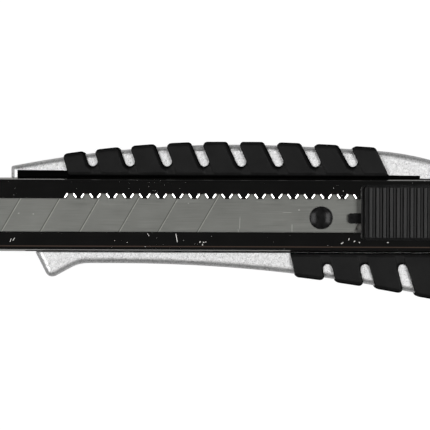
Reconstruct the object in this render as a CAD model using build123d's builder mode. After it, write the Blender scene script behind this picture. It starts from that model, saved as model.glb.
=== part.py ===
"""Heavy-duty snap-off utility knife, blade drawn in, lying on its back with the slot face up.

X runs along the knife with the nose at -X, Y is its width with the cutting edge towards -Y, and Z is
its thickness. The origin is under the middle of the knife, on the surface that it rests on.
Lengths are in millimetres. Widths marked "v" are measured from the blade channel's centreline.
"""
from math import cos, radians, sin, tan
import os

from build123d import *

os.makedirs("parts", exist_ok=True)

# ---------------------------------------------------------------- driving dimensions
LENGTH = 175.0
NOSE_X = -LENGTH / 2
TAIL_X = LENGTH / 2
AXIS_Y = 2.79  # the blade channel's centreline

# Blade channel: folded steel sheet with a slot in its face
CHANNEL_WIDTH = 21.0
CHANNEL_BACK = 8.0
CHANNEL_FACE = 14.0
SHEET = 0.8
CHANNEL_BEND = 1.8
CHANNEL_END = 63.0
SLOT_LOW = -4.9
SLOT_HIGH = 4.6
SLOT_END = 61.0
NOTCH_DEPTH = 1.4
NOTCH_MOUTH = 3.2
NOTCH_FLOOR = 1.2
NOTCH_PITCH = 4.7
NOTCH_FIRST = -51.2
NOTCH_COUNT = 21
SNAP_ANGLE = 60.0  # slant of the blade's ends and score lines, and of the channel's nose

# Blade: 18 mm pattern
BLADE_WIDTH = 18.0
BLADE_THICK = 0.5
BLADE_TIP_X = -84.4
BLADE_TAIL_X = 27.05
SCORE_PITCH = 11.2
SCORE_COUNT = 6
SCORE_WIDTH = 0.24
SCORE_DEPTH = 0.12
BLADE_HOLE = 6.7

# Carriage
PLATE_BOTTOM = 11.3
PLATE_TOP = 12.5
RUNNER_BOTTOM = 9.15
CARRIER_FRONT = 13.0
CARRIER_REAR = 59.8
CARRIER_HALF = 9.3
STUD_X = 20.3
STUD_V = -0.7
STUD_DIAMETER = 6.4
LEAF_THICK = 0.5
LEAF_FRONT = 25.0
LEAF_REAR = 57.0
LEAF_HALF = 3.2
TOOTH_NOTCH = 19
TOOTH_X = NOTCH_FIRST + TOOTH_NOTCH * NOTCH_PITCH
CORE_LOW = -4.6
CORE_HIGH = 4.3
CORE_TOP = 13.9

# Thumb slider
PAD_FRONT = 31.6
PAD_REAR = 58.6
PAD_LOW = -7.1
PAD_HIGH = 8.8
PAD_BOTTOM = 14.9
PAD_STEP = 15.6
PAD_TOP = 16.9
PAD_LEDGE = 1.0
RIB_PITCH = 1.944
RIB_FIRST = 34.34
RIB_COUNT = 12

# Handle
CASTING_BACK = 1.2
CASTING_FACE = 12.5
CASTING_EDGE = 1.8
CASTING_NOSE_X = -68.2
GROOVE_FLOOR = CHANNEL_BACK
GRIP_FACE = 13.8
GRIP_PROUD = 0.8
GRIP_EDGE = 1.6
GRIP_RELIEF = 0.45
LANYARD_X = 78.5
LANYARD_V = -9.5
LANYARD_RADIUS = 3.0

SCREW_XS = (-50.0, 2.0, 52.0)


def at(x, v):
    """A point of the handle's plan, with v measured from the channel's centreline."""
    return (x, v + AXIS_Y)


def slant(v_rise):
    """How far a line at the snap angle moves along X while it rises by v_rise."""
    return v_rise / tan(radians(SNAP_ANGLE))


def finish(builder, name):
    """Label a finished piece and write its file."""
    builder.part.label = name
    export_step(builder.part, f"parts/{name}.step")


# ---------------------------------------------------------------- plan of the handle
GUARD_TIP = at(-57.3, -18.5)
GUARD_ROOT = at(-48.9, -13.85)
GUARD_TIP_RADIUS = 2.0
GUARD_ROOT_RADIUS = 11.0
NOSE_TOP = at(CASTING_NOSE_X, 13.8)
NOSE_CORNER_RADIUS = 0.6

# The back is three tangent arcs into the pommel, the belly one long arc into the finger guard.
with BuildSketch() as outline:
    with BuildLine():
        nose_front = Line(at(CASTING_NOSE_X, 10.6), NOSE_TOP)
        crown = ThreePointArc(NOSE_TOP, at(-35.0, 18.65), at(5.8, 19.98))
        shoulder = TangentArc(crown @ 1, at(36.2, 18.5), tangent=crown % 1)
        fall = TangentArc(shoulder @ 1, at(78.5, 3.0), tangent=shoulder % 1)
        heel = TangentArc(fall @ 1, at(TAIL_X, -14.7), tangent=fall % 1)
        pommel = TangentArc(heel @ 1, at(75.0, -25.6), tangent=heel % 1)
        belly = TangentArc(at(-37.0, -13.85), at(45.8, -21.77), tangent=(1, 0))
        hollow = TangentArc(belly @ 1, pommel @ 1, tangent=belly % 1)
        guard = Polyline(belly @ 0, GUARD_ROOT, GUARD_TIP, at(-61.2, -10.8), nose_front @ 0)
    make_face()
    tip = outline.vertices().sort_by_distance(Vector(*GUARD_TIP))[0]
    fillet(tip, radius=GUARD_TIP_RADIUS)
    root = outline.vertices().sort_by_distance(Vector(*GUARD_ROOT))[0]
    fillet(root, radius=GUARD_ROOT_RADIUS)
    nose_corner = outline.vertices().sort_by_distance(Vector(*NOSE_TOP))[0]
    fillet(nose_corner, radius=NOSE_CORNER_RADIUS)

# The handle's outer form before anything is cut from it, rounded at its front and back edges
with BuildPart() as casting_blank:
    with BuildSketch(Plane.XY.offset(CASTING_BACK)):
        add(outline.sketch)
    extrude(amount=CASTING_FACE - CASTING_BACK)
    fillet(casting_blank.faces().sort_by(Axis.Z)[-1].edges(), radius=CASTING_EDGE)
    fillet(casting_blank.faces().sort_by(Axis.Z)[0].edges(), radius=CASTING_EDGE)

# The same form grown outward: the rubber's outer surface
with BuildSketch() as grown_outline:
    add(outline.sketch)
    offset(amount=GRIP_PROUD)

with BuildPart() as grip_blank:
    add(grown_outline.sketch)
    extrude(amount=GRIP_FACE)
    fillet(grip_blank.faces().sort_by(Axis.Z)[-1].edges(), radius=GRIP_EDGE)
    fillet(grip_blank.faces().sort_by(Axis.Z)[0].edges(), radius=GRIP_PROUD)

# ---------------------------------------------------------------- channel nuts and screws
NUT_RADIUS = 3.2
NUT_SHANK_RADIUS = 2.1
NUT_BOTTOM = 5.0
BOSS_RADIUS = 4.6
THREAD_RADIUS = 1.5
SCREW_HEAD_RADIUS = 2.8
SCREW_RIM = 0.2

with BuildPart() as channel_nuts:
    for x in SCREW_XS:
        with BuildSketch(Plane.XY.offset(NUT_BOTTOM)):
            with Locations(at(x, 0)):
                Circle(NUT_RADIUS)
        extrude(amount=CHANNEL_BACK - NUT_BOTTOM)
        with BuildSketch(Plane.XY.offset(CHANNEL_BACK)):
            with Locations(at(x, 0)):
                Circle(NUT_SHANK_RADIUS)
        extrude(amount=SHEET)
        with BuildSketch(Plane.XY.offset(NUT_BOTTOM)):
            with Locations(at(x, 0)):
                Circle(THREAD_RADIUS)
        extrude(amount=CHANNEL_BACK + SHEET - NUT_BOTTOM, mode=Mode.SUBTRACT)
finish(channel_nuts, "channel_nuts")

SCREW_END = 8.6
SCREW_SHANK_RADIUS = 1.46
SCREW_POINT = 0.4
RECESS_DEPTH = 0.9
RECESS_LENGTH = 3.0
RECESS_WIDTH = 0.7
RECESS_TURN = 30
RECESS_TAPER = 12
screw_cone = SCREW_HEAD_RADIUS - SCREW_SHANK_RADIUS

with BuildPart() as channel_screws:
    for x in SCREW_XS:
        with BuildSketch(Plane.XZ.offset(-AXIS_Y)):
            with BuildLine():
                Polyline(
                    (x, CASTING_BACK),
                    (x + SCREW_HEAD_RADIUS, CASTING_BACK),
                    (x + SCREW_HEAD_RADIUS, CASTING_BACK + SCREW_RIM),
                    (x + SCREW_SHANK_RADIUS, CASTING_BACK + SCREW_RIM + screw_cone),
                    (x + SCREW_SHANK_RADIUS, SCREW_END - SCREW_POINT),
                    (x + SCREW_SHANK_RADIUS - SCREW_POINT, SCREW_END),
                    (x, SCREW_END),
                    close=True,
                )
            make_face()
        revolve(axis=Axis((x, AXIS_Y, 0), (0, 0, 1)))
        with BuildSketch(Plane.XY.offset(CASTING_BACK)):
            with Locations(at(x, 0)):
                Rectangle(RECESS_LENGTH, RECESS_WIDTH, rotation=RECESS_TURN)
                Rectangle(RECESS_LENGTH, RECESS_WIDTH, rotation=RECESS_TURN + 90)
        extrude(amount=RECESS_DEPTH, taper=RECESS_TAPER, mode=Mode.SUBTRACT)
finish(channel_screws, "channel_screws")

# ---------------------------------------------------------------- die-cast body
GROOVE_NOSE_X = -66.4
GROOVE_STEP_X = 48.5
GROOVE_NOSE_V = 12.7
GROOVE_TAIL_V = 11.4
CHANNEL_FIT = 0.1
LOWER_GAP = 0.22
CORE_FLOOR = 3.2
CORE_HALF = 8.5
CORE_FRONT = -57.0
CORE_REAR = 60.0
RIB_SPACING = 13.0
RIB_THICK = 1.2
CELL_CORNER = 1.2
NUT_FIT = 0.15
SCREW_FIT = 0.1
POCKET_X = 69.0
POCKET_V = -1.0
POCKET_LENGTH = 7.0
POCKET_WIDTH = 14.0
POCKET_CORNER = 2.0
POCKET_DEPTH = 7.0
HOLE_CHAMFER = 0.5
half_fit = CHANNEL_WIDTH / 2 + CHANNEL_FIT
sink_cone = SCREW_HEAD_RADIUS - THREAD_RADIUS

with BuildPart() as body_casting:
    add(casting_blank.part)
    # the channel's seat: a narrow gap along the lower rail, and a wide one along the upper rail
    # that closes at the nose and at the tail
    with BuildSketch(Plane.XY.offset(GROOVE_FLOOR)):
        with BuildLine():
            Polyline(
                at(CASTING_NOSE_X - 1, half_fit),
                at(GROOVE_NOSE_X, half_fit),
                at(GROOVE_NOSE_X, GROOVE_NOSE_V),
                at(GROOVE_STEP_X, GROOVE_TAIL_V),
                at(GROOVE_STEP_X, half_fit),
                at(CHANNEL_END + CHANNEL_FIT, half_fit),
                at(CHANNEL_END + CHANNEL_FIT, -half_fit - LOWER_GAP),
                at(CASTING_NOSE_X - 1, -half_fit - LOWER_GAP),
                close=True,
            )
        make_face()
    extrude(amount=CASTING_FACE, mode=Mode.SUBTRACT)
    # cored cells under the channel, between cross ribs and screw bosses
    cell_count = round((CORE_REAR - CORE_FRONT) / RIB_SPACING)
    cell_length = (CORE_REAR - CORE_FRONT + RIB_THICK) / cell_count - RIB_THICK
    with BuildSketch(Plane.XY.offset(CORE_FLOOR)):
        for cell in range(cell_count):
            middle = CORE_FRONT + cell_length / 2 + cell * (cell_length + RIB_THICK)
            with Locations(at(middle, 0)):
                RectangleRounded(cell_length, 2 * CORE_HALF, CELL_CORNER)
        for x in SCREW_XS:
            with Locations(at(x, 0)):
                Circle(BOSS_RADIUS, mode=Mode.SUBTRACT)
    extrude(amount=GROOVE_FLOOR - CORE_FLOOR, mode=Mode.SUBTRACT)
    # nut pockets and countersunk screw holes
    for x in SCREW_XS:
        with BuildSketch(Plane.XY.offset(NUT_BOTTOM)):
            with Locations(at(x, 0)):
                Circle(NUT_RADIUS + NUT_FIT)
        extrude(amount=GROOVE_FLOOR - NUT_BOTTOM, mode=Mode.SUBTRACT)
        with BuildSketch(Plane.XZ.offset(-AXIS_Y)):
            with BuildLine():
                Polyline(
                    (x, CASTING_BACK),
                    (x + SCREW_HEAD_RADIUS + SCREW_FIT, CASTING_BACK),
                    (x + SCREW_HEAD_RADIUS + SCREW_FIT, CASTING_BACK + SCREW_RIM),
                    (x + THREAD_RADIUS + SCREW_FIT, CASTING_BACK + SCREW_RIM + sink_cone),
                    (x + THREAD_RADIUS + SCREW_FIT, NUT_BOTTOM),
                    (x, NUT_BOTTOM),
                    close=True,
                )
            make_face()
        revolve(axis=Axis((x, AXIS_Y, 0), (0, 0, 1)), mode=Mode.SUBTRACT)
    # weight-saving pocket in the back of the pommel
    with BuildSketch(Plane.XY.offset(CASTING_BACK)):
        with Locations(at(POCKET_X, POCKET_V)):
            RectangleRounded(POCKET_LENGTH, POCKET_WIDTH, POCKET_CORNER)
    extrude(amount=POCKET_DEPTH, mode=Mode.SUBTRACT)
    # lanyard hole
    with Locations(Plane.XY.offset(CASTING_FACE)):
        with Locations(at(LANYARD_X, LANYARD_V)):
            Hole(LANYARD_RADIUS)
    rims = body_casting.edges().filter_by(GeomType.CIRCLE)
    hole_rims = rims.filter_by(lambda rim: abs(rim.arc_center.X - LANYARD_X) < 0.01)
    chamfer(hole_rims.filter_by(lambda rim: rim.radius == LANYARD_RADIUS), length=HOLE_CHAMFER)
finish(body_casting, "body_casting")

# ---------------------------------------------------------------- rubber grips
GRIP_FAR_V = 28.0
FLANGE_V = 7.6
STRIP_CORNER = 1.1
STRIP_CORNERS_BEYOND = 16.45
WINDOW_REACH = 14.0
BEVEL_WIDTH = 1.3
BEVEL_DROP = 0.9
LEDGE_SHIFT_X = 0.8
LEDGE_SHIFT_V = 0.6
LEDGE_Z = 13.1  # height of the narrow ledge inside each window

UPPER_INNER_V = 11.0
UPPER_FRONT = -51.6
UPPER_REAR = 39.6
UPPER_FRONT_SLOPE = -0.3
UPPER_REAR_SLOPE = -0.475
UPPER_WINDOWS = 8
UPPER_WINDOW_X = -44.9
UPPER_WINDOW_V = 15.2
UPPER_WINDOW_PITCH = 10.6
UPPER_WINDOW_RADIUS = 1.45
UPPER_WINDOW_FLARE = 0.15
UPPER_LEAN = 18.5
UPPER_LEAN_STEP = 1.45
UPPER_LEDGE = 0.5

LOWER_INNER_V = -10.75
LOWER_FRONT = 11.5
LOWER_REAR = 72.5
LOWER_FRONT_SLOPE = -0.245
LOWER_REAR_SLOPE = -0.33
LOWER_WINDOWS = 5
LOWER_WINDOW_X = 22.2
LOWER_WINDOW_V = -15.2
LOWER_WINDOW_PITCH = 10.7
LOWER_WINDOW_RADIUS = 1.4
LOWER_WINDOW_FLARE = 0.5
LOWER_LEAN = 13.0
LOWER_LEAN_STEP = 1.5
LOWER_LEDGE = 0.3


def window(x, v, lean, radius, flare, reach):
    """A leaning window: a round end at (x, v) that widens by flare over its reach, up or down."""
    sign = 1 if reach > 0 else -1
    along = Vector(-sin(radians(lean)), cos(radians(lean))) * sign
    across = Vector(along.Y, -along.X)
    start = Vector(*at(x, v))
    end = start + along * abs(reach)
    with BuildSketch() as opening:
        with BuildLine():
            Polyline(
                start + across * radius,
                end + across * (radius + flare),
                end - across * (radius + flare),
                start - across * radius,
                close=True,
            )
        make_face()
        with Locations(start):
            Circle(radius)
    return opening.sketch


def upper_windows(flare, reach, ledge=0.0):
    """The openings along the upper grip, or with a negative reach the shallow reliefs below them.

    A ledge widens them towards the nose and the channel.
    """
    for k in range(UPPER_WINDOWS):
        x = UPPER_WINDOW_X + k * UPPER_WINDOW_PITCH - LEDGE_SHIFT_X * ledge
        lean = UPPER_LEAN + k * UPPER_LEAN_STEP
        yield window(x, UPPER_WINDOW_V - LEDGE_SHIFT_V * ledge, lean, UPPER_WINDOW_RADIUS + ledge, flare, reach)


def lower_windows(flare, reach, ledge=0.0):
    """The openings along the lower grip, or with a positive reach the shallow reliefs above them.

    A ledge widens them towards the nose and the channel.
    """
    for k in range(LOWER_WINDOWS):
        x = LOWER_WINDOW_X + k * LOWER_WINDOW_PITCH - LEDGE_SHIFT_X * ledge
        lean = LOWER_LEAN + k * LOWER_LEAN_STEP
        yield window(x, LOWER_WINDOW_V + LEDGE_SHIFT_V * ledge, lean, LOWER_WINDOW_RADIUS + ledge, flare, reach)


def is_strip_corner(vertex):
    """True for a corner on the grown outline that isn't a join between two of the outline's own arcs."""
    joins = grown_outline.vertices()
    own = min((vertex.distance_to(join) for join in joins), default=1) > 0.01
    return own and abs(vertex.Y - AXIS_Y) > STRIP_CORNERS_BEYOND


def grip_plan(front, rear, slopes, inner_v, edge_v, openings):
    """Plan of a grip from edge_v outwards, its strips rounded where they reach the handle's outline.

    front and rear are where the two ends cross inner_v; the slopes are their run along X per unit of v.
    """
    far_v = GRIP_FAR_V if inner_v > 0 else -GRIP_FAR_V
    with BuildSketch() as plan:
        with BuildLine():
            Polyline(
                at(front + slopes[0] * (edge_v - inner_v), edge_v),
                at(front + slopes[0] * (far_v - inner_v), far_v),
                at(rear + slopes[1] * (far_v - inner_v), far_v),
                at(rear + slopes[1] * (edge_v - inner_v), edge_v),
                close=True,
            )
        make_face()
        add(grown_outline.sketch, mode=Mode.INTERSECT)
        for opening in openings:
            add(opening, mode=Mode.SUBTRACT)
        corners = plan.vertices().filter_by(is_strip_corner)
        fillet(corners, radius=STRIP_CORNER)
    return plan.sketch


def inner_bevel(v):
    """The sliver that slopes a grip's inner front edge down towards the channel."""
    side = 1 if v > 0 else -1
    with BuildPart() as sliver:
        with BuildSketch(Plane.YZ.offset(NOSE_X)):
            with BuildLine():
                Polyline(
                    (v + AXIS_Y - side, GRIP_FACE + 1),
                    (v + AXIS_Y - side, GRIP_FACE - BEVEL_DROP),
                    (v + AXIS_Y, GRIP_FACE - BEVEL_DROP),
                    (v + AXIS_Y + side * BEVEL_WIDTH, GRIP_FACE),
                    (v + AXIS_Y + side * BEVEL_WIDTH, GRIP_FACE + 1),
                    close=True,
                )
            make_face()
        extrude(amount=LENGTH)
    return sliver.part


upper_slopes = (UPPER_FRONT_SLOPE, UPPER_REAR_SLOPE)
upper_openings = list(upper_windows(UPPER_WINDOW_FLARE, WINDOW_REACH))

with BuildPart() as upper_grip:
    with BuildSketch(Plane.XY.offset(CASTING_BACK)):
        add(grip_plan(UPPER_FRONT, UPPER_REAR, upper_slopes, UPPER_INNER_V, UPPER_INNER_V, upper_openings))
    extrude(amount=GRIP_FACE - CASTING_BACK)
    # flange that wraps round under the back of the casting
    with BuildSketch(Plane.XY):
        add(grip_plan(UPPER_FRONT, UPPER_REAR, upper_slopes, UPPER_INNER_V, FLANGE_V, upper_openings))
    extrude(amount=CASTING_BACK)
    add(grip_blank.part, mode=Mode.INTERSECT)
    add(casting_blank.part, mode=Mode.SUBTRACT)
    with BuildSketch(Plane.XY.offset(GRIP_FACE - GRIP_RELIEF)):
        for relief in upper_windows(0, -WINDOW_REACH):
            add(relief)
    extrude(amount=GRIP_RELIEF, mode=Mode.SUBTRACT)
    with BuildSketch(Plane.XY.offset(LEDGE_Z)):
        for opening in upper_windows(UPPER_WINDOW_FLARE, WINDOW_REACH, UPPER_LEDGE):
            add(opening)
    extrude(amount=GRIP_FACE - LEDGE_Z, mode=Mode.SUBTRACT)
    add(inner_bevel(UPPER_INNER_V), mode=Mode.SUBTRACT)
    # the strip that fills the gap between the upper rail and the channel
    with BuildSketch(Plane.XY.offset(GROOVE_FLOOR)):
        with BuildLine():
            Polyline(
                at(GROOVE_NOSE_X, half_fit),
                at(GROOVE_NOSE_X, GROOVE_NOSE_V),
                at(GROOVE_STEP_X, GROOVE_TAIL_V),
                at(GROOVE_STEP_X, half_fit),
                close=True,
            )
        make_face()
    extrude(amount=CASTING_FACE - GROOVE_FLOOR)
finish(upper_grip, "upper_grip")

lower_slopes = (LOWER_FRONT_SLOPE, LOWER_REAR_SLOPE)
lower_openings = list(lower_windows(LOWER_WINDOW_FLARE, -WINDOW_REACH))

with BuildPart() as lower_grip:
    with BuildSketch(Plane.XY.offset(CASTING_BACK)):
        add(grip_plan(LOWER_FRONT, LOWER_REAR, lower_slopes, LOWER_INNER_V, LOWER_INNER_V, lower_openings))
    extrude(amount=GRIP_FACE - CASTING_BACK)
    with BuildSketch(Plane.XY):
        add(grip_plan(LOWER_FRONT, LOWER_REAR, lower_slopes, LOWER_INNER_V, -FLANGE_V, lower_openings))
    extrude(amount=CASTING_BACK)
    add(grip_blank.part, mode=Mode.INTERSECT)
    add(casting_blank.part, mode=Mode.SUBTRACT)
    with BuildSketch(Plane.XY.offset(GRIP_FACE - GRIP_RELIEF)):
        for relief in lower_windows(0, WINDOW_REACH):
            add(relief)
    extrude(amount=GRIP_RELIEF, mode=Mode.SUBTRACT)
    with BuildSketch(Plane.XY.offset(LEDGE_Z)):
        for opening in lower_windows(LOWER_WINDOW_FLARE, -WINDOW_REACH, LOWER_LEDGE):
            add(opening)
    extrude(amount=GRIP_FACE - LEDGE_Z, mode=Mode.SUBTRACT)
    add(inner_bevel(LOWER_INNER_V), mode=Mode.SUBTRACT)
finish(lower_grip, "lower_grip")

# ---------------------------------------------------------------- blade channel
inner_width = CHANNEL_WIDTH - 2 * SHEET
inner_height = CHANNEL_FACE - CHANNEL_BACK - 2 * SHEET
channel_middle = (CHANNEL_FACE + CHANNEL_BACK) / 2

ROLL_WIDTH = 0.36
ROLL_DROP = 0.112
SLOT_CORNER = 0.42


def is_slot_rim(edge):
    """True for an edge of the channel's face that borders the slot."""
    middle = edge.center()
    inside = SLOT_LOW - 0.1 < middle.Y - AXIS_Y < SLOT_HIGH + NOTCH_DEPTH + 0.1
    return inside and middle.X > NOSE_X + 0.1


with BuildPart() as blade_channel:
    with BuildSketch(Plane.YZ.offset(NOSE_X)):
        with Locations((AXIS_Y, channel_middle)):
            RectangleRounded(CHANNEL_WIDTH, CHANNEL_FACE - CHANNEL_BACK, CHANNEL_BEND)
            RectangleRounded(inner_width, inner_height, CHANNEL_BEND - SHEET, mode=Mode.SUBTRACT)
    extrude(amount=CHANNEL_END - NOSE_X)
    # the slot, open at the nose, with lock notches along its upper edge
    with BuildSketch(Plane.XY.offset(CHANNEL_FACE)) as slot:
        with BuildLine():
            points = [at(NOSE_X - 1, SLOT_HIGH)]
            for k in range(NOTCH_COUNT):
                middle = NOTCH_FIRST + k * NOTCH_PITCH
                points.append(at(middle - NOTCH_MOUTH / 2, SLOT_HIGH))
                points.append(at(middle - NOTCH_FLOOR / 2, SLOT_HIGH + NOTCH_DEPTH))
                points.append(at(middle + NOTCH_FLOOR / 2, SLOT_HIGH + NOTCH_DEPTH))
                points.append(at(middle + NOTCH_MOUTH / 2, SLOT_HIGH))
            points.append(at(SLOT_END, SLOT_HIGH))
            points.append(at(SLOT_END, SLOT_LOW))
            points.append(at(NOSE_X - 1, SLOT_LOW))
            Polyline(points, close=True)
        make_face()
        fillet(slot.vertices().filter_by(lambda p: p.X > NOSE_X), radius=SLOT_CORNER)
    extrude(amount=-2 * SHEET, mode=Mode.SUBTRACT)
    # the slot's sheared rim is rolled over
    rim = blade_channel.edges().group_by(Axis.Z)[-1].filter_by(is_slot_rim)
    chamfer(rim, length=ROLL_WIDTH, length2=ROLL_DROP, reference=blade_channel.faces().sort_by(Axis.Z)[-1])
    # slanted nose
    with BuildSketch(Plane.XY.offset(CHANNEL_BACK)):
        with BuildLine():
            foot = CHANNEL_WIDTH / 2 + 1
            Polyline(
                at(NOSE_X - slant(1), -foot),
                at(NOSE_X + slant(CHANNEL_WIDTH + 1), foot),
                at(NOSE_X - 2, foot),
                at(NOSE_X - 2, -foot),
                close=True,
            )
        make_face()
    extrude(amount=CHANNEL_FACE - CHANNEL_BACK, mode=Mode.SUBTRACT)
    with BuildSketch(Plane.XY.offset(CHANNEL_BACK)):
        for x in SCREW_XS:
            with Locations(at(x, 0)):
                Circle(NUT_SHANK_RADIUS)
    extrude(amount=SHEET, mode=Mode.SUBTRACT)
finish(blade_channel, "blade_channel")

# Plastic plug in the channel's rear end: the carriage's rear stop
PLUG_FIT = 0.1
PLUG_FRONT = CARRIER_REAR + 0.5
PLUG_RECESS = 1.2
PLUG_WALL = 2.0
PLUG_FLOOR = 0.9

with BuildPart() as end_plug:
    with BuildSketch(Plane.YZ.offset(PLUG_FRONT)):
        with Locations((AXIS_Y, channel_middle)):
            RectangleRounded(inner_width - PLUG_FIT, inner_height - PLUG_FIT, CHANNEL_BEND - SHEET)
    extrude(amount=CHANNEL_END - PLUG_FRONT)
    with BuildSketch(Plane.YZ.offset(PLUG_FRONT)):
        with Locations((AXIS_Y, channel_middle)):
            Rectangle(inner_width - 2 * PLUG_WALL, inner_height - 2 * PLUG_FLOOR)
    extrude(amount=PLUG_RECESS, mode=Mode.SUBTRACT)
finish(end_plug, "end_plug")

# ---------------------------------------------------------------- blade
EDGE_DROP = 0.2
EDGE_WIDTH = 1.6
BLADE_TOP = PLATE_TOP + BLADE_THICK
blade_half = BLADE_WIDTH / 2

with BuildPart() as snap_blade:
    with BuildSketch(Plane.XY.offset(PLATE_TOP)):
        with BuildLine():
            Polyline(
                at(BLADE_TIP_X, -blade_half),
                at(BLADE_TAIL_X, -blade_half),
                at(BLADE_TAIL_X + slant(BLADE_WIDTH), blade_half),
                at(BLADE_TIP_X + slant(BLADE_WIDTH), blade_half),
                close=True,
            )
        make_face()
        with Locations(at(STUD_X, STUD_V)):
            Circle(BLADE_HOLE / 2, mode=Mode.SUBTRACT)
    extrude(amount=BLADE_THICK)
    cutting_edges = snap_blade.edges().filter_by(Axis.X).group_by(Axis.Y)[0]
    edge_side = snap_blade.faces().sort_by(Axis.Y)[0]
    chamfer(cutting_edges, length=EDGE_DROP, length2=EDGE_WIDTH, reference=edge_side)
    with BuildSketch(Plane.XY.offset(BLADE_TOP)):
        for k in range(1, SCORE_COUNT + 1):
            with Locations(at(BLADE_TIP_X + k * SCORE_PITCH + slant(blade_half), 0)):
                Rectangle(BLADE_WIDTH * 1.3, SCORE_WIDTH, rotation=SNAP_ANGLE)
    extrude(amount=-SCORE_DEPTH, mode=Mode.SUBTRACT)
finish(snap_blade, "snap_blade")

# ---------------------------------------------------------------- carriage
FLANGE_THICK = 1.2
TAB_INNER_V = 4.7
TAB_OUTER_V = 5.3
TAB_HALF = 0.85
TAB_ARM_HALF = 1.4
WINDOW_FRONT = 42.0
WINDOW_REAR = 54.0
WINDOW_HALF = 2.6
LEAF_RIVET_XS = (28.0, 32.0)
CORE_RIVET_XS = (38.4, 57.0)
RIVET_RADIUS = 1.0
STUD_NECK_RADIUS = 1.6
CARRIER_BEND = 0.8
TAB_FIT = 0.2
TAB_SLOT_WIDTH = 1.4

with BuildPart() as blade_carrier:
    with BuildSketch(Plane.YZ.offset(CARRIER_FRONT)):
        with Locations((AXIS_Y, (PLATE_TOP + RUNNER_BOTTOM) / 2)):
            Rectangle(2 * CARRIER_HALF, PLATE_TOP - RUNNER_BOTTOM)
        with Locations((AXIS_Y, (PLATE_BOTTOM + RUNNER_BOTTOM - 1) / 2)):
            Rectangle(2 * (CARRIER_HALF - FLANGE_THICK), PLATE_BOTTOM - RUNNER_BOTTOM + 1, mode=Mode.SUBTRACT)
    extrude(amount=CARRIER_REAR - CARRIER_FRONT)
    bends = blade_carrier.edges().filter_by(Axis.X).group_by(Axis.Z)[-1]
    fillet(bends, radius=CARRIER_BEND)
    with BuildSketch(Plane.XY.offset(PLATE_TOP)):
        with Locations(at(STUD_X, STUD_V)):
            Circle(STUD_NECK_RADIUS)
        for x in LEAF_RIVET_XS + CORE_RIVET_XS:
            with Locations(at(x, 0)):
                Circle(RIVET_RADIUS)
        with Locations(at((WINDOW_FRONT + WINDOW_REAR) / 2, 0)):
            Rectangle(WINDOW_REAR - WINDOW_FRONT, 2 * WINDOW_HALF)
        with Locations(at(TOOTH_X, (TAB_INNER_V + TAB_OUTER_V) / 2)):
            Rectangle(2 * (TAB_ARM_HALF + TAB_FIT), TAB_SLOT_WIDTH)
    extrude(amount=PLATE_BOTTOM - PLATE_TOP, mode=Mode.SUBTRACT)
finish(blade_carrier, "blade_carrier")

# Bowed leaf held by the stud: it bears on the channel's back wall and keeps the carriage from rattling
DRAG_THICK = 0.3
DRAG_HALF = 2.9
DRAG_FOOT_Z = CHANNEL_BACK + SHEET + 0.05
DRAG_TAIL = 3.4
DRAG_FLAT = 4.0
DRAG_REACH = 15.0
DRAG_TOE = 17.5
DRAG_TOE_RISE = 0.9
DRAG_BEND = 1.5
drag_middle = PLATE_BOTTOM - DRAG_THICK / 2

with BuildPart() as drag_spring:
    with BuildSketch(Plane.XZ.offset(-AXIS_Y - STUD_V - DRAG_HALF)):
        with BuildLine():
            FilletPolyline(
                (STUD_X + DRAG_TAIL, drag_middle),
                (STUD_X - DRAG_FLAT, drag_middle),
                (STUD_X - DRAG_REACH, DRAG_FOOT_Z + DRAG_THICK / 2),
                (STUD_X - DRAG_TOE, DRAG_FOOT_Z + DRAG_TOE_RISE),
                radius=DRAG_BEND,
            )
        trace(line_width=DRAG_THICK)
    extrude(amount=2 * DRAG_HALF)
    with BuildSketch(Plane.XY.offset(PLATE_BOTTOM)):
        with Locations(at(STUD_X, STUD_V)):
            Circle(STUD_NECK_RADIUS)
    extrude(amount=-2 * DRAG_THICK, mode=Mode.SUBTRACT)
finish(drag_spring, "drag_spring")

STUD_TOP = 13.95
STUD_DOME = 0.75
STUD_HEAD = 0.5
STUD_HEAD_RADIUS = 2.4
head_top = PLATE_BOTTOM - DRAG_THICK
rim_z = STUD_TOP - STUD_DOME
stud_rim = STUD_DIAMETER / 2
dome_radius = (stud_rim**2 + STUD_DOME**2) / (2 * STUD_DOME)

with BuildPart() as blade_stud:
    with BuildSketch(Plane.XZ.offset(-AXIS_Y - STUD_V)):
        with BuildLine():
            Polyline(
                (STUD_X, STUD_TOP),
                (STUD_X, head_top - STUD_HEAD),
                (STUD_X + STUD_HEAD_RADIUS, head_top - STUD_HEAD),
                (STUD_X + STUD_HEAD_RADIUS, head_top),
                (STUD_X + STUD_NECK_RADIUS, head_top),
                (STUD_X + STUD_NECK_RADIUS, PLATE_TOP),
                (STUD_X + stud_rim, PLATE_TOP),
                (STUD_X + stud_rim, rim_z),
            )
            RadiusArc((STUD_X + stud_rim, rim_z), (STUD_X, STUD_TOP), -dome_radius)
        make_face()
    revolve(axis=Axis((STUD_X, AXIS_Y + STUD_V, 0), (0, 0, 1)))
finish(blade_stud, "blade_stud")

# Block in the slot behind the blade, with a tongue that holds the blade's tail down
CORE_FRONT_X = 35.4
TONGUE_FRONT = 27.9
TONGUE_LOW = -2.3
TONGUE_HIGH = 0.6
TONGUE_BOTTOM = BLADE_TOP + 0.05
TONGUE_CORNER = 0.9
TONGUE_EDGE = 0.3
CORE_REAR_X = CARRIER_REAR - 0.3

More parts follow.
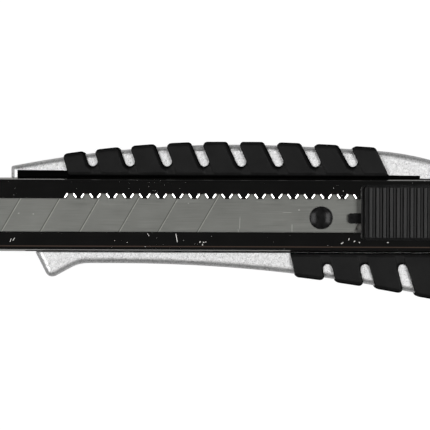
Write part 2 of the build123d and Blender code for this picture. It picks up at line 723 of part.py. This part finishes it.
with BuildPart() as slider_core:
    with BuildSketch(Plane.XY.offset(PLATE_TOP)):
        with Locations(at((CORE_FRONT_X + CORE_REAR_X) / 2, (CORE_LOW + CORE_HIGH) / 2)):
            Rectangle(CORE_REAR_X - CORE_FRONT_X, CORE_HIGH - CORE_LOW)
        with Locations(at((WINDOW_FRONT + WINDOW_REAR) / 2, 0)):
            Rectangle(WINDOW_REAR - WINDOW_FRONT, 2 * WINDOW_HALF, mode=Mode.SUBTRACT)
    extrude(amount=CORE_TOP - PLATE_TOP)
    with BuildSketch(Plane.XY.offset(TONGUE_BOTTOM)) as tongue:
        with Locations(at((TONGUE_FRONT + CORE_FRONT_X) / 2, (TONGUE_LOW + TONGUE_HIGH) / 2)):
            Rectangle(CORE_FRONT_X - TONGUE_FRONT, TONGUE_HIGH - TONGUE_LOW)
        fillet(tongue.vertices().group_by(Axis.X)[0], radius=TONGUE_CORNER)
    extrude(amount=CORE_TOP - TONGUE_BOTTOM)
    front_edges = slider_core.edges().group_by(Axis.X)[0].filter_by(Axis.Y)
    fillet(front_edges.sort_by(Axis.Z)[-1], radius=TONGUE_EDGE)
    with BuildSketch(Plane.XY.offset(PLATE_TOP)):
        for x in CORE_RIVET_XS:
            with Locations(at(x, 0)):
                Circle(RIVET_RADIUS)
    extrude(amount=CORE_TOP - PLATE_TOP, mode=Mode.SUBTRACT)
finish(slider_core, "slider_core")

# Flush rivets that hold the block on the carriage plate
with BuildPart() as core_rivets:
    for x in CORE_RIVET_XS:
        with BuildSketch(Plane.XY.offset(PLATE_BOTTOM)):
            with Locations(at(x, 0)):
                Circle(RIVET_RADIUS)
        extrude(amount=CORE_TOP - PLATE_BOTTOM)
finish(core_rivets, "core_rivets")

# Leaf spring under the plate, with an upturned tooth that stands in a notch
leaf_bottom = PLATE_BOTTOM - LEAF_THICK
SCREW_HOLE_RADIUS = 1.2
PAD_SCREW_XS = (45.0, 51.0)
LEAF_CORNER = 1.0
RIVET_FIT = 0.4

with BuildPart() as lock_spring:
    with BuildSketch(Plane.XY.offset(leaf_bottom)):
        with Locations(at((LEAF_FRONT + LEAF_REAR) / 2, 0)):
            RectangleRounded(LEAF_REAR - LEAF_FRONT, 2 * LEAF_HALF, LEAF_CORNER)
        with Locations(at(TOOTH_X, TAB_OUTER_V / 2)):
            Rectangle(2 * TAB_ARM_HALF, TAB_OUTER_V)
        for x in LEAF_RIVET_XS:
            with Locations(at(x, 0)):
                Circle(RIVET_RADIUS, mode=Mode.SUBTRACT)
        for x in PAD_SCREW_XS:
            with Locations(at(x, 0)):
                Circle(SCREW_HOLE_RADIUS, mode=Mode.SUBTRACT)
        with Locations(at(CORE_RIVET_XS[0], 0)):
            Circle(RIVET_RADIUS + RIVET_FIT, mode=Mode.SUBTRACT)
    extrude(amount=LEAF_THICK)
    with BuildSketch(Plane.XY.offset(leaf_bottom)):
        with Locations(at(TOOTH_X, (TAB_INNER_V + TAB_OUTER_V) / 2)):
            Rectangle(2 * TAB_HALF, TAB_OUTER_V - TAB_INNER_V)
    extrude(amount=CORE_TOP - leaf_bottom)
finish(lock_spring, "lock_spring")

RIVET_HEAD_RADIUS = 1.8
RIVET_HEAD = 0.6
RIVET_TAPER = 30

with BuildPart() as spring_rivets:
    for x in LEAF_RIVET_XS:
        with BuildSketch(Plane.XY.offset(leaf_bottom)):
            with Locations(at(x, 0)):
                Circle(RIVET_RADIUS)
        extrude(amount=PLATE_TOP - leaf_bottom)
        with BuildSketch(Plane.XY.offset(leaf_bottom)):
            with Locations(at(x, 0)):
                Circle(RIVET_HEAD_RADIUS)
        extrude(amount=-RIVET_HEAD, taper=RIVET_TAPER)
finish(spring_rivets, "spring_rivets")

# ---------------------------------------------------------------- thumb slider
POST_CLEARANCE = 0.25
PAD_GROOVE = 0.3
PAD_SIDE = 0.4
FLANGE_CORNER = 1.4
FLANGE_EDGE = 0.25
PAD_CORNER = 1.0
PAD_EDGE = 0.35
RIB_LOW = -6.3
RIB_HIGH = 7.9
TALL_RIB = 0.7
TALL_RIB_WIDTH = 0.85
LOW_RIB = 0.35
LOW_RIB_WIDTH = 0.5
LOW_RIB_SHIFT = 0.92
RIB_ROOT = 0.1
RIB_EDGE = 0.15
RIBS = ((RIB_FIRST + LOW_RIB_SHIFT, LOW_RIB_WIDTH, LOW_RIB), (RIB_FIRST, TALL_RIB_WIDTH, TALL_RIB))
pad_length = PAD_REAR - PAD_FRONT - 2 * PAD_LEDGE
pad_width = PAD_HIGH - PAD_LOW - 2 * PAD_SIDE
PAD_SCREW_RADIUS = 1.0
PAD_SCREW_DEPTH = 4.0

with BuildPart() as thumb_slider:
    # base flange, and the raised pad set back on it behind a narrow groove
    with BuildSketch(Plane.XY.offset(PAD_BOTTOM)):
        with Locations(at((PAD_FRONT + PAD_REAR) / 2, (PAD_LOW + PAD_HIGH) / 2)):
            RectangleRounded(PAD_REAR - PAD_FRONT, PAD_HIGH - PAD_LOW, FLANGE_CORNER)
    extrude(amount=PAD_STEP - PAD_BOTTOM)
    fillet(thumb_slider.faces().sort_by(Axis.Z)[-1].edges(), radius=FLANGE_EDGE)
    with BuildSketch(Plane.XY.offset(PAD_STEP - PAD_GROOVE)):
        with Locations(at((PAD_FRONT + PAD_REAR) / 2, (PAD_LOW + PAD_HIGH) / 2)):
            RectangleRounded(pad_length + 2 * PAD_GROOVE, pad_width + 2 * PAD_GROOVE, PAD_CORNER + PAD_GROOVE)
    extrude(amount=PAD_GROOVE, mode=Mode.SUBTRACT)
    with BuildSketch(Plane.XY.offset(PAD_STEP - PAD_GROOVE)):
        with Locations(at((PAD_FRONT + PAD_REAR) / 2, (PAD_LOW + PAD_HIGH) / 2)):
            RectangleRounded(pad_length, pad_width, PAD_CORNER)
    extrude(amount=PAD_TOP - PAD_STEP + PAD_GROOVE)
    fillet(thumb_slider.faces().sort_by(Axis.Z)[-1].edges(), radius=PAD_EDGE)
    # grip ribs across the pad: tall ribs, with a low one in each gap
    for first, width, height in RIBS:
        with BuildSketch(Plane.XY.offset(PAD_TOP - RIB_ROOT)):
            for k in range(RIB_COUNT):
                with Locations(at(first + k * RIB_PITCH, (RIB_LOW + RIB_HIGH) / 2)):
                    Rectangle(width, RIB_HIGH - RIB_LOW)
        extrude(amount=height + RIB_ROOT)
        tops = thumb_slider.faces().filter_by(Axis.Z).group_by(Axis.Z)[-1]
        if height == TALL_RIB:
            fillet(tops.edges(), radius=RIB_EDGE)
    # post through the slot on to the leaf spring
    with BuildSketch(Plane.XY.offset(PLATE_BOTTOM)):
        with Locations(at((WINDOW_FRONT + WINDOW_REAR) / 2, 0)):
            post_length = WINDOW_REAR - WINDOW_FRONT - 2 * POST_CLEARANCE
            Rectangle(post_length, 2 * (WINDOW_HALF - POST_CLEARANCE))
    extrude(amount=PAD_BOTTOM - PLATE_BOTTOM)
    with BuildSketch(Plane.XY.offset(PLATE_BOTTOM)):
        for x in PAD_SCREW_XS:
            with Locations(at(x, 0)):
                Circle(PAD_SCREW_RADIUS)
    extrude(amount=PAD_SCREW_DEPTH, mode=Mode.SUBTRACT)
finish(thumb_slider, "thumb_slider")

# Screws from under the leaf spring up into the post
PAN_RADIUS = 1.9
PAN_HEIGHT = 0.8
DRIVE_LENGTH = 2.4
DRIVE_WIDTH = 0.5
DRIVE_DEPTH = 0.5
SCREW_TIP_GAP = 0.2

with BuildPart() as slider_screws:
    for x in PAD_SCREW_XS:
        with BuildSketch(Plane.XY.offset(leaf_bottom)):
            with Locations(at(x, 0)):
                Circle(PAN_RADIUS)
        extrude(amount=-PAN_HEIGHT)
        with BuildSketch(Plane.XY.offset(leaf_bottom)):
            with Locations(at(x, 0)):
                Circle(PAD_SCREW_RADIUS)
        extrude(amount=LEAF_THICK + PAD_SCREW_DEPTH - SCREW_TIP_GAP)
        with BuildSketch(Plane.XY.offset(leaf_bottom - PAN_HEIGHT)):
            with Locations(at(x, 0)):
                Rectangle(DRIVE_LENGTH, DRIVE_WIDTH)
                Rectangle(DRIVE_WIDTH, DRIVE_LENGTH)
        extrude(amount=DRIVE_DEPTH, mode=Mode.SUBTRACT)
finish(slider_screws, "slider_screws")
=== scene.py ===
"""Looks of the snap-off utility knife: rubber, paint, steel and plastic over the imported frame.

The knife lies on its back on a white table, seen from straight above.
"""
import math

import bpy
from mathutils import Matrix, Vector


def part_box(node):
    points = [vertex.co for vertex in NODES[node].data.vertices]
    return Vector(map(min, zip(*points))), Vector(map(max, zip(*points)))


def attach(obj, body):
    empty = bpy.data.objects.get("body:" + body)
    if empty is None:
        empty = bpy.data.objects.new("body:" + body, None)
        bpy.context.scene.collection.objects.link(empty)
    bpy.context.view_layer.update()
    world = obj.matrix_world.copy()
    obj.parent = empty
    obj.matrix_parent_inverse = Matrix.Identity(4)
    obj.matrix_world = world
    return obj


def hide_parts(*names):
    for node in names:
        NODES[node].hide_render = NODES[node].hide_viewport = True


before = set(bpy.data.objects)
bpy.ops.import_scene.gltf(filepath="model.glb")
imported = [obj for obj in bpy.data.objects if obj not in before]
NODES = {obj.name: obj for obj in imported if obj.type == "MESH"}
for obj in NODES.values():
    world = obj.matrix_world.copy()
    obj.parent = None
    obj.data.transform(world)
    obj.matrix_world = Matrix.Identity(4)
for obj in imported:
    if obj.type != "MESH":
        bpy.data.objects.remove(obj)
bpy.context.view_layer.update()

MM = 0.001
MARK_EDGE = 2.5  # how steeply a mark fades in from its edge
FOLD_ANGLE = 32  # folds sharper than this stay crisp, in degrees
SCENE = bpy.context.scene

channel_low, channel_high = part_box("blade_channel")
AXIS_Y = (channel_low.y + channel_high.y) / 2 / MM
FACE_Z = channel_high.z


# ---------------------------------------------------------------- node helpers
class Shader:
    """A material's node tree, with short calls for the nodes that the finishes share."""

    def __init__(self, name):
        self.material = bpy.data.materials.new(name)
        self.material.use_nodes = True
        self.tree = self.material.node_tree
        self.tree.nodes.clear()
        self.output = self.tree.nodes.new("ShaderNodeOutputMaterial")
        self.surface = self.tree.nodes.new("ShaderNodeBsdfPrincipled")
        self.tree.links.new(self.surface.outputs["BSDF"], self.output.inputs["Surface"])
        self.place = self.tree.nodes.new("ShaderNodeTexCoord").outputs["Object"]

    def axis(self, name):
        """One coordinate of the surface point, X, Y or Z, in metres."""
        node = self.tree.nodes.new("ShaderNodeSeparateXYZ")
        self.link(self.place, node.inputs[0])
        return node.outputs[name]

    def set(self, **values):
        for key, value in values.items():
            self.surface.inputs[key.replace("_", " ")].default_value = value

    def link(self, socket, to):
        self.tree.links.new(socket, to)

    def scaled(self, x, y, z):
        """The knife's own coordinates, stretched so that a texture runs finer along some axes."""
        mapping = self.tree.nodes.new("ShaderNodeMapping")
        mapping.inputs["Scale"].default_value = (x, y, z)
        self.link(self.place, mapping.inputs["Vector"])
        return mapping.outputs["Vector"]

    def noise(self, vector, scale, detail=2.0, roughness=0.5):
        node = self.tree.nodes.new("ShaderNodeTexNoise")
        node.inputs["Scale"].default_value = scale
        node.inputs["Detail"].default_value = detail
        node.inputs["Roughness"].default_value = roughness
        self.link(vector, node.inputs["Vector"])
        return node.outputs["Fac"]

    def cells(self, vector, scale):
        node = self.tree.nodes.new("ShaderNodeTexVoronoi")
        node.inputs["Scale"].default_value = scale
        self.link(vector, node.inputs["Vector"])
        return node.outputs["Color"]

    def ramp(self, value, *stops):
        """Colours at positions: each stop is (position, grey) or (position, (r, g, b))."""
        node = self.tree.nodes.new("ShaderNodeValToRGB")
        elements = node.color_ramp.elements
        while len(elements) < len(stops):
            elements.new(0.5)
        for element, (position, colour) in zip(elements, stops):
            grey = (colour, colour, colour) if isinstance(colour, (int, float)) else colour
            element.position = position
            element.color = (*grey, 1)
        self.link(value, node.inputs["Fac"])
        return node.outputs["Color"]

    def math(self, operation, a, b=0.0):
        node = self.tree.nodes.new("ShaderNodeMath")
        node.operation = operation
        for socket, value in zip(node.inputs, (a, b)):
            if isinstance(value, (int, float)):
                socket.default_value = value
            else:
                self.link(value, socket)
        return node.outputs[0]

    def mix(self, factor, a, b, blend="MIX"):
        node = self.tree.nodes.new("ShaderNodeMix")
        node.data_type = "RGBA"
        node.blend_type = blend
        inputs = [s for s in node.inputs if s.type == "RGBA"]
        for socket, value in ((node.inputs[0], factor), (inputs[0], a), (inputs[1], b)):
            if isinstance(value, (int, float)):
                socket.default_value = value if socket.type == "VALUE" else (value, value, value, 1)
            elif isinstance(value, tuple):
                socket.default_value = (*value, 1)
            else:
                self.link(value, socket)
        return [s for s in node.outputs if s.type == "RGBA"][0]

    def mark(self, x, y, length, width, degrees=0.0):
        """1 on a straight mark centred at (x, y) millimetres along the knife and above its middle."""
        mapping = self.tree.nodes.new("ShaderNodeMapping")
        mapping.vector_type = "TEXTURE"
        mapping.inputs["Location"].default_value = (x * MM, y * MM, 0)
        mapping.inputs["Rotation"].default_value = (0, 0, math.radians(degrees))
        mapping.inputs["Scale"].default_value = (length * MM / 2, width * MM / 2, 1)
        self.link(self.place, mapping.inputs["Vector"])
        size = self.tree.nodes.new("ShaderNodeVectorMath")
        size.operation = "ABSOLUTE"
        self.link(mapping.outputs["Vector"], size.inputs[0])
        split = self.tree.nodes.new("ShaderNodeSeparateXYZ")
        self.link(size.outputs["Vector"], split.inputs[0])
        along = self.math("SUBTRACT", 1.0, split.outputs["X"])
        across = self.math("SUBTRACT", 1.0, split.outputs["Y"])
        inside = self.math("MULTIPLY", self.math("MINIMUM", along, across), MARK_EDGE)
        node = self.tree.nodes.new("ShaderNodeClamp")
        self.link(inside, node.inputs["Value"])
        return node.outputs["Result"]

    def marks(self, places):
        total = 0.0
        for place in places:
            total = self.math("MAXIMUM", total, self.mark(*place))
        return total

    def bump(self, height, strength, depth):
        """Relief from a texture, its full depth in millimetres."""
        node = self.tree.nodes.new("ShaderNodeBump")
        node.inputs["Strength"].default_value = strength
        node.inputs["Distance"].default_value = depth * MM
        self.link(height, node.inputs["Height"])
        self.link(node.outputs["Normal"], self.surface.inputs["Normal"])


# ---------------------------------------------------------------- materials
# Places on the knife, in millimetres
LEDGE_Z = 13.1
RIB_ROOT_Z = 16.9
RIB_HEIGHT = 0.7
SEAM_Y = 10.22  # from the channel's axis to the painted shade where it meets the casting
SEAM_START_X = -64.0
SNAP_ANGLE = 60.0
SCORE_FIRST_X = -68.0
SCORE_PITCH = 11.2
SCORE_COUNT = 6
SCORE_LENGTH = 24
SCORE_WIDTH = 0.3
SCORE_SHADE = 0.34  # how far the painted shade of a score line lies before its painted highlight

# Texture scales, in repeats per metre
FLAKE_SCALE = 4200
FLAKE_SHEEN_SCALE = 3900
PAINT_MOTTLE_SCALE = 1500
PAINT_GRAIN_SCALE = 2600
DUST_SCALE = 160
RUBBER_SHEEN_SCALE = 420
PEBBLE_SCALE = 3400
SMEAR_SCALE = 130
NICK_SCALE = 1700
NICK_PATCH_SCALE = 75
BLADE_CLOUD_SCALE = 90
SPOT_SCALE = 900
SPARK_SCALE = 2600
HANDLING_SCALE = 300
PLATING_SCALE = 700
SPECKLE_SCALE = 60

NICK_LEVEL = 0.735  # noise above this is a nick, where the patch noise is above its own level
NICK_PATCH_LEVEL = 0.5

# Marks as (x, y, length, width, degrees), in millimetres
CHANNEL_SCRATCHES = [
    (-20.9, -3.8, 3.0, 0.26, -79),
    (-68.2, -4.6, 1.3, 0.2, 70),
    (-67.3, -4.3, 1.2, 0.2, 55),
    (-29.0, -2.9, 1.2, 0.16, -60),
    (-14.2, -4.9, 0.7, 0.3, 60),
    (-13.2, -5.0, 0.5, 0.3, 0),
    (-13.5, -5.7, 0.6, 0.25, 80),
    (-12.6, -4.9, 0.45, 0.25, 20),
    (26.3, -5.1, 1.0, 0.3, 30),
    (28.2, -4.0, 0.8, 0.25, 75),
    (29.8, -4.6, 0.6, 0.3, 40),
    (31.2, -4.9, 0.5, 0.3, -30),
    (39.3, -4.9, 0.6, 0.25, 0),
]
BLADE_SCRATCHES = [
    (-2.9, 0.5, 4.0, 0.16, 88),
    (-3.3, -1.9, 1.6, 0.14, -80),
    (12.0, -0.9, 2.6, 0.2, 90),
    (14.0, 4.3, 0.5, 0.35, 0),
    (10.6, 3.6, 3.0, 0.1, 0),
    (-61.8, 2.9, 0.5, 0.3, 0),
    (-66.0, 3.1, 0.5, 0.3, 20),
    (-17.6, 6.1, 0.3, 0.3, 0),
]


def silver_paint():
    """Coarse sparkle silver on the casting: bright flakes in a light grey coat."""
    m = Shader("silver_paint")
    flakes = m.cells(m.place, FLAKE_SCALE)
    flake = m.ramp(flakes, (0.0, 0.5), (0.3, 0.85), (0.7, 0.98), (1.0, 1.0))
    mottle = m.ramp(m.noise(m.place, PAINT_MOTTLE_SCALE, 3), (0.3, 0.78), (0.7, 1.0))
    m.link(m.mix(1.0, flake, mottle, "MULTIPLY"), m.surface.inputs["Base Color"])
    rough = m.ramp(m.cells(m.place, FLAKE_SHEEN_SCALE), (0.0, 0.42), (1.0, 0.56))
    m.link(rough, m.surface.inputs["Roughness"])
    m.set(Metallic=0.95)
    grain = m.noise(m.place, PAINT_GRAIN_SCALE, 2)
    m.bump(grain, 0.7, 0.06)
    return m.material


def grip_rubber():
    """Matt black elastomer with a fine pebbled skin, with painted shade down on the ledges in the
    windows.
    """
    m = Shader("grip_rubber")
    dust = m.ramp(m.noise(m.place, DUST_SCALE, 4, 0.6), (0.35, 0.0055), (0.75, 0.0095))
    # Painted shade: wherever the rubber lies lower than just above LEDGE_Z, such as the ledges in the
    # windows, its colour and specular drop towards black.
    rise = m.math("SUBTRACT", m.math("DIVIDE", m.axis("Z"), MM), LEDGE_Z)
    painted_ledge_shade = m.ramp(rise, (0.08, 0.12), (0.35, 1.0))
    m.link(m.mix(1.0, dust, painted_ledge_shade, "MULTIPLY"), m.surface.inputs["Base Color"])
    m.link(m.math("MULTIPLY", painted_ledge_shade, 0.14), m.surface.inputs["Specular IOR Level"])
    rough = m.ramp(m.noise(m.place, RUBBER_SHEEN_SCALE, 3), (0.3, 0.46), (0.7, 0.6))
    m.link(rough, m.surface.inputs["Roughness"])
    pebble = m.noise(m.place, PEBBLE_SCALE, 2)
    m.bump(pebble, 0.35, 0.05)
    return m.material


def mirror_steel():
    """Polished stainless sheet: hairline polishing marks, smears, nicks and handling scratches, with
    painted shade along the seam with the casting.
    """
    m = Shader("mirror_steel")
    hair = m.noise(m.scaled(60, 5200, 900), 1, 2)
    smear = m.noise(m.place, SMEAR_SCALE, 3)
    rough = m.ramp(m.mix(0.5, hair, smear), (0.3, 0.05), (0.75, 0.11))
    nicks = m.noise(m.place, NICK_SCALE, 2, 0.7)
    patches = m.math("GREATER_THAN", m.noise(m.place, NICK_PATCH_SCALE, 2), NICK_PATCH_LEVEL)
    nick = m.math("MULTIPLY", m.math("GREATER_THAN", nicks, NICK_LEVEL), patches)
    scratch = m.math("MAXIMUM", m.marks(CHANNEL_SCRATCHES), nick)
    # Painted shade: farther than SEAM_Y from the axis, from SEAM_START_X back, the steel turns near
    # black and rough, standing in for the shaded seam next to the casting.
    from_axis = m.math("ABSOLUTE", m.math("SUBTRACT", m.axis("Y"), AXIS_Y * MM))
    in_seam = m.math("GREATER_THAN", from_axis, SEAM_Y * MM)
    painted_seam_shade = m.math("MULTIPLY", in_seam, m.math("GREATER_THAN", m.axis("X"), SEAM_START_X * MM))
    m.link(m.mix(painted_seam_shade, m.mix(scratch, rough, 0.5), 0.7), m.surface.inputs["Roughness"])
    steel = m.mix(scratch, (0.62, 0.615, 0.6), (0.8, 0.79, 0.76))
    m.link(m.mix(painted_seam_shade, steel, (0.02, 0.02, 0.018)), m.surface.inputs["Base Color"])
    m.set(Metallic=1.0)
    m.bump(hair, 0.06, 0.01)
    return m.material


def blade_steel():
    """Ground blade steel: satin, with grain along the blade, score lines drawn as painted shade and
    painted highlight, and wear marks.
    """
    m = Shader("blade_steel")
    grain = m.noise(m.scaled(90, 9000, 9000), 1, 3, 0.7)
    cloud = m.noise(m.place, BLADE_CLOUD_SCALE, 3)
    tone = m.mix(0.35, grain, cloud)
    satin = m.ramp(tone, (0.3, (0.215, 0.219, 0.203)), (0.7, (0.32, 0.325, 0.303)))
    lines = [SCORE_FIRST_X + k * SCORE_PITCH for k in range(SCORE_COUNT)]
    # Painted shade and painted highlight: each score line is a dark mark with a bright one SCORE_SHADE
    # further along, standing in for the shaded and lit walls of a groove.
    shade = m.marks([(x - SCORE_SHADE, AXIS_Y, SCORE_LENGTH, SCORE_WIDTH, SNAP_ANGLE) for x in lines])
    bright = m.marks([(x, AXIS_Y, SCORE_LENGTH, SCORE_WIDTH, SNAP_ANGLE) for x in lines])
    scuff = m.marks(BLADE_SCRATCHES)
    lined = m.mix(shade, satin, (0.16, 0.163, 0.15))
    lit = m.mix(bright, lined, (0.5, 0.5, 0.46))
    m.link(m.mix(scuff, lit, (0.55, 0.55, 0.51)), m.surface.inputs["Base Color"])
    rough = m.ramp(grain, (0.3, 0.34), (0.7, 0.44))
    m.link(rough, m.surface.inputs["Roughness"])
    m.set(Metallic=0.85)
    m.bump(grain, 0.25, 0.02)
    return m.material


def gloss_black():
    """Blackened steel under a clear gloss."""
    m = Shader("gloss_black")
    spots = m.noise(m.place, SPOT_SCALE, 3)
    m.link(m.ramp(spots, (0.3, 0.006), (0.7, 0.014)), m.surface.inputs["Base Color"])
    m.link(m.ramp(spots, (0.3, 0.17), (0.7, 0.24)), m.surface.inputs["Roughness"])
    m.set(Specular_IOR_Level=0.12)
    m.bump(spots, 0.12, 0.03)
    return m.material


def slider_plastic():
    """Black moulded plastic with spark-eroded texture, with painted shade in the gaps between the ribs.
    """
    m = Shader("slider_plastic")
    texture = m.noise(m.place, SPARK_SCALE, 2)
    rise = m.math("DIVIDE", m.math("SUBTRACT", m.axis("Z"), RIB_ROOT_Z * MM), RIB_HEIGHT * MM)
    # Painted shade: the plastic is darkest at the rib roots and lighter towards the rib tops, standing
    # in for shade in the gaps between the ribs.
    painted_rib_shade = m.ramp(rise, (0.1, 0.0), (0.9, 1.0))
    rib_shaded_colour = m.mix(painted_rib_shade, (0.002, 0.002, 0.002), (0.04, 0.04, 0.04))
    m.link(m.mix(0.3, rib_shaded_colour, m.ramp(texture, (0.3, 0.003), (0.7, 0.03))), m.surface.inputs["Base Color"])
    handling = m.noise(m.place, HANDLING_SCALE, 2)
    m.link(m.ramp(handling, (0.3, 0.34), (0.7, 0.5)), m.surface.inputs["Roughness"])
    m.set(Specular_IOR_Level=0.22)
    m.bump(texture, 0.4, 0.04)
    return m.material


def plated_steel(name, dark, light):
    """Zinc-plated or tempered steel: mottled sheen with fine drawn lines."""
    m = Shader(name)
    mottle = m.noise(m.place, PLATING_SCALE, 4, 0.6)
    lines = m.noise(m.scaled(120, 6000, 2500), 1, 2)
    m.link(m.ramp(m.mix(0.4, mottle, lines), (0.3, dark), (0.7, light)), m.surface.inputs["Base Color"])
    m.link(m.ramp(mottle, (0.3, 0.24), (0.7, 0.4)), m.surface.inputs["Roughness"])
    m.set(Metallic=1.0)
    m.bump(lines, 0.1, 0.02)
    return m.material


SILVER = silver_paint()
RUBBER = grip_rubber()
MIRROR = mirror_steel()
BLADE = blade_steel()
GLOSS_BLACK = gloss_black()
PLASTIC = slider_plastic()
ZINC = plated_steel("zinc_steel", (0.42, 0.42, 0.4), (0.62, 0.61, 0.57))
SPRING = plated_steel("spring_steel", (0.16, 0.15, 0.16), (0.3, 0.3, 0.33))

FINISHES = {
    "body_casting": SILVER,
    "blade_channel": MIRROR,
    "end_plug": PLASTIC,
    "channel_nuts": ZINC,
    "channel_screws": ZINC,
    "snap_blade": BLADE,
    "blade_carrier": ZINC,
    "blade_stud": GLOSS_BLACK,
    "slider_core": GLOSS_BLACK,
    "core_rivets": GLOSS_BLACK,
    "lock_spring": SPRING,
    "spring_rivets": ZINC,
    "drag_spring": SPRING,
    "thumb_slider": PLASTIC,
    "slider_screws": ZINC,
}


def smooth_by_angle(piece, degrees):
    """Shade curved faces smooth and leave folds sharper than the angle crisp."""
    piece.data.shade_smooth()
    piece.data.set_sharp_from_angle(angle=math.radians(degrees))


for name, material in FINISHES.items():
    node = NODES[name]
    node.data.materials.clear()
    node.data.materials.append(material)
    smooth_by_angle(node, FOLD_ANGLE)


# ---------------------------------------------------------------- rubber grips
GRIP_VOXEL = 0.26 * MM
GRIP_SMOOTHING = 4
GRIP_SWELL = 0.12 * MM


def soften(node_name, piece_name):
    """A moulded rubber copy of a grip: the same form with its edges rounded off."""
    piece = bpy.data.objects.new(piece_name, NODES[node_name].data.copy())
    SCENE.collection.objects.link(piece)
    remesh = piece.modifiers.new("even", "REMESH")
    remesh.mode = "VOXEL"
    remesh.voxel_size = GRIP_VOXEL
    round_off = piece.modifiers.new("round", "SMOOTH")
    round_off.factor = 0.5
    round_off.iterations = GRIP_SMOOTHING
    swell = piece.modifiers.new("swell", "DISPLACE")
    swell.strength = GRIP_SWELL
    swell.mid_level = 0
    depsgraph = bpy.context.evaluated_depsgraph_get()
    mesh = bpy.data.meshes.new_from_object(piece.evaluated_get(depsgraph))
    piece.modifiers.clear()
    piece.data = mesh
    low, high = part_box(node_name)
    for vertex in mesh.vertices:
        vertex.co = [min(max(value, a), b) for value, a, b in zip(vertex.co, low, high)]
    mesh.materials.clear()
    mesh.materials.append(RUBBER)
    mesh.shade_smooth()
    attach(piece, "handle")
    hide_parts(node_name)


soften("upper_grip", "upper_rubber")
soften("lower_grip", "lower_rubber")


# ---------------------------------------------------------------- table, light and camera
TABLE_SIZE = 6
TABLE_GLOW = 1.35
TABLE_GLOW_SHARE = 0.7
SWEEP_LEAN = 0.05
SWEEP_LIGHT = 0.15
ROOM_LIGHT = 0.01
SWEEP_HEIGHTS = (0.02, 0.14)

FIELD = 122.55 * MM
AIM = Vector((-9.98 * MM, AXIS_Y * MM, FACE_Z))
DISTANCE = 1.1
CAMERA_ROLL = 0.2
NEAR_CLIP = 0.01

# Lights as (name, place, size, watts, colour), in metres
WHITE = (1, 1, 1)
LIGHTS = [
    ("left_box", (-0.8, 0.0, 1.2), (1.1, 0.5), 11.6, WHITE),
    ("right_box", (0.8, 0.0, 1.2), (1.1, 0.5), 13.2, WHITE),
    ("warm_card", (-0.05, -0.42, 1.0), (0.9, 0.3), 0.07, (1, 0.66, 0.52)),
    ("spark", (-0.25, 0.62, 1.0), (0.07, 0.07), 0.12, WHITE),
]


def stage_floor():
    """A white table that looks evenly lit to the camera and stays dim in reflections."""
    m = Shader("table_white")
    speckle = m.noise(m.place, SPECKLE_SCALE, 3)
    m.link(m.ramp(speckle, (0.3, 0.42), (0.7, 0.46)), m.surface.inputs["Base Color"])
    m.set(Roughness=0.9)
    rays = m.tree.nodes.new("ShaderNodeLightPath")
    glow = m.tree.nodes.new("ShaderNodeEmission")
    glow.inputs["Strength"].default_value = TABLE_GLOW
    blend = m.tree.nodes.new("ShaderNodeMixShader")
    m.link(m.math("MULTIPLY", rays.outputs["Is Camera Ray"], TABLE_GLOW_SHARE), blend.inputs["Fac"])
    m.link(m.surface.outputs["BSDF"], blend.inputs[1])
    m.link(glow.outputs["Emission"], blend.inputs[2])
    m.link(blend.outputs["Shader"], m.output.inputs["Surface"])
    bpy.ops.mesh.primitive_plane_add(size=TABLE_SIZE)
    floor = bpy.context.object
    floor.name = "table"
    floor.data.materials.append(m.material)


def softbox(name, place, size, power, colour):
    """A rectangular light turned towards the point that the camera looks at."""
    light = bpy.data.lights.new(name, "AREA")
    light.shape = "RECTANGLE"
    light.size, light.size_y = size
    light.energy = power
    light.color = colour
    lamp = bpy.data.objects.new(name, light)
    SCENE.collection.objects.link(lamp)
    lamp.location = place
    lamp.rotation_euler = (AIM - Vector(place)).to_track_quat("-Z", "Y").to_euler()


def sky():
    """A dark room with a dim horizon for reflections, and plain white behind for the camera."""
    world = bpy.data.worlds.new("studio")
    SCENE.world = world
    world.use_nodes = True
    tree = world.node_tree
    tree.nodes.clear()
    coordinates = tree.nodes.new("ShaderNodeTexCoord")
    height = tree.nodes.new("ShaderNodeVectorMath")
    ramp = tree.nodes.new("ShaderNodeValToRGB")
    rays = tree.nodes.new("ShaderNodeLightPath")
    lit = tree.nodes.new("ShaderNodeBackground")
    seen = tree.nodes.new("ShaderNodeBackground")
    choose = tree.nodes.new("ShaderNodeMixShader")
    output = tree.nodes.new("ShaderNodeOutputWorld")
    height.operation = "DOT_PRODUCT"
    height.inputs[1].default_value = (0, -SWEEP_LEAN, 1)
    low, high = ramp.color_ramp.elements
    low.position, high.position = SWEEP_HEIGHTS
    low.color = (SWEEP_LIGHT, SWEEP_LIGHT, SWEEP_LIGHT, 1)
    high.color = (ROOM_LIGHT, ROOM_LIGHT, ROOM_LIGHT, 1)
    seen.inputs["Color"].default_value = (1, 1, 1, 1)
    tree.links.new(coordinates.outputs["Generated"], height.inputs[0])
    tree.links.new(height.outputs["Value"], ramp.inputs["Fac"])
    tree.links.new(ramp.outputs["Color"], lit.inputs["Color"])
    tree.links.new(rays.outputs["Is Camera Ray"], choose.inputs["Fac"])
    tree.links.new(lit.outputs["Background"], choose.inputs[1])
    tree.links.new(seen.outputs["Background"], choose.inputs[2])
    tree.links.new(choose.outputs["Shader"], output.inputs["Surface"])


def stage_camera():
    """A camera straight above the knife, with FIELD across its picture."""
    data = bpy.data.cameras.new("camera")
    camera = bpy.data.objects.new("camera", data)
    SCENE.collection.objects.link(camera)
    SCENE.camera = camera
    camera.location = AIM + Vector((0, 0, DISTANCE))
    camera.rotation_euler = (0, 0, math.radians(CAMERA_ROLL))
    data.lens = data.sensor_width * DISTANCE / FIELD
    data.clip_start = NEAR_CLIP


stage_floor()
sky()
for light in LIGHTS:
    softbox(*light)
stage_camera()

SCENE.view_settings.view_transform = "Standard"
